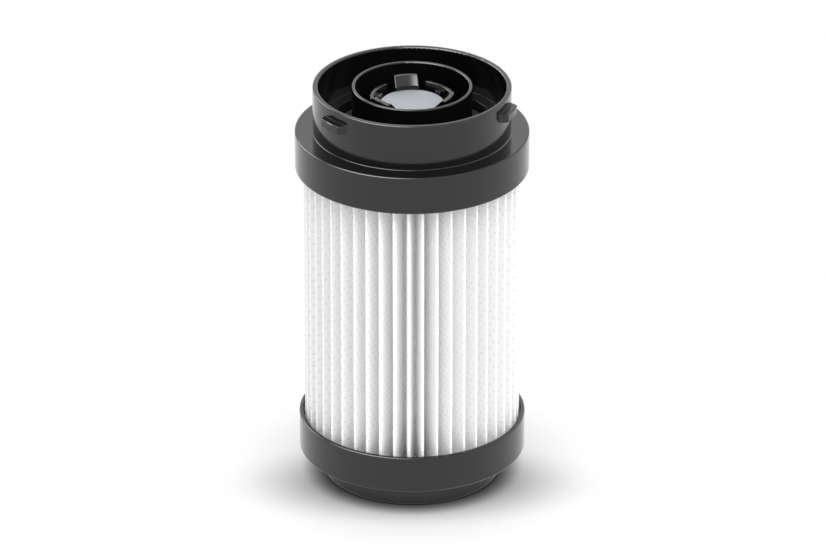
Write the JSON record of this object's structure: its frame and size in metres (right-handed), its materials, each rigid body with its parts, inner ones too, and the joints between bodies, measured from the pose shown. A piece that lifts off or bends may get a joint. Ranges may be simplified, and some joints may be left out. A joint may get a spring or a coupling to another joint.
{
  "type": "pleated pump water filter cartridge",
  "caption": "Pleated cartridge with black end caps, a bayonet collar and a push-to-open outlet valve, for a hand-pump water filter.",
  "frame": {"origin": "centre of the foot's underside, where the cartridge stands", "axes": "+Z along the cartridge's axis towards the outlet; +Y through the first bayonet lug and latch"},
  "size_m": [0.06, 0.06, 0.1086],
  "materials": {
    "black_plastic": "moulded black plastic, semi-gloss",
    "black_rubber": "matt black rubber",
    "poppet_plastic": "natural acetal, pale grey, satin",
    "spring_steel": "drawn stainless wire",
    "core_plastic": "natural polypropylene",
    "carbon": "pressed activated carbon, dusty and porous",
    "felt": "white needle felt",
    "support_fabric": "point-bonded white spunbond",
    "glass_fibre_media": "white glass-fibre sheet",
    "hot_melt": "milky hot-melt adhesive",
    "resin": "cast off-white polyurethane"
  },
  "bodies": {
    "cartridge": {"top_end_cap": "black_plastic", "outlet_spigot": "black_plastic", "valve_body": "black_plastic", "bottom_end_cap": "black_plastic", "collar_gasket": "black_rubber", "core_o_ring": "black_rubber", "valve_body_gasket": "black_rubber", "valve_spring": "spring_steel", "core_tube": "core_plastic", "core_end_plug": "core_plastic", "carbon_block": "carbon", "carbon_wrap": "felt", "carbon_top_pad": "felt", "carbon_bottom_pad": "felt", "pleat_outer_support": "support_fabric", "pleat_inner_support": "support_fabric", "pleat_media": "glass_fibre_media", "pleat_seam_bead": "hot_melt", "top_potting": "resin", "bottom_potting": "resin"},
    "poppet": {"valve_poppet": "poppet_plastic", "poppet_o_ring": "black_rubber"},
    "latch_1": {"valve_latch_1": "black_plastic"},
    "latch_2": {"valve_latch_2": "black_plastic"},
    "latch_3": {"valve_latch_3": "black_plastic"}
  },
  "joints": [
    {"name": "poppet_slide", "type": "slide", "parent": "cartridge", "child": "poppet", "axis": [0, 0, 1], "range_m": [-0.004, 0], "stiffness_N_per_m": 150, "deforming": ["valve_spring"]},
    {"name": "latch_1_flex", "type": "hinge", "parent": "cartridge", "child": "latch_1", "pos_m": [0, 0.01025, 0.0936], "axis": [-1, 0, 0], "range_deg": [0, 7]},
    {"name": "latch_2_flex", "type": "hinge", "parent": "cartridge", "child": "latch_2", "pos_m": [-0.00888, -0.00513, 0.0936], "axis": [0.5, -0.866, 0], "range_deg": [0, 7]},
    {"name": "latch_3_flex", "type": "hinge", "parent": "cartridge", "child": "latch_3", "pos_m": [0.00888, -0.00513, 0.0936], "axis": [0.5, 0.866, 0], "range_deg": [0, 7]}
  ]
}
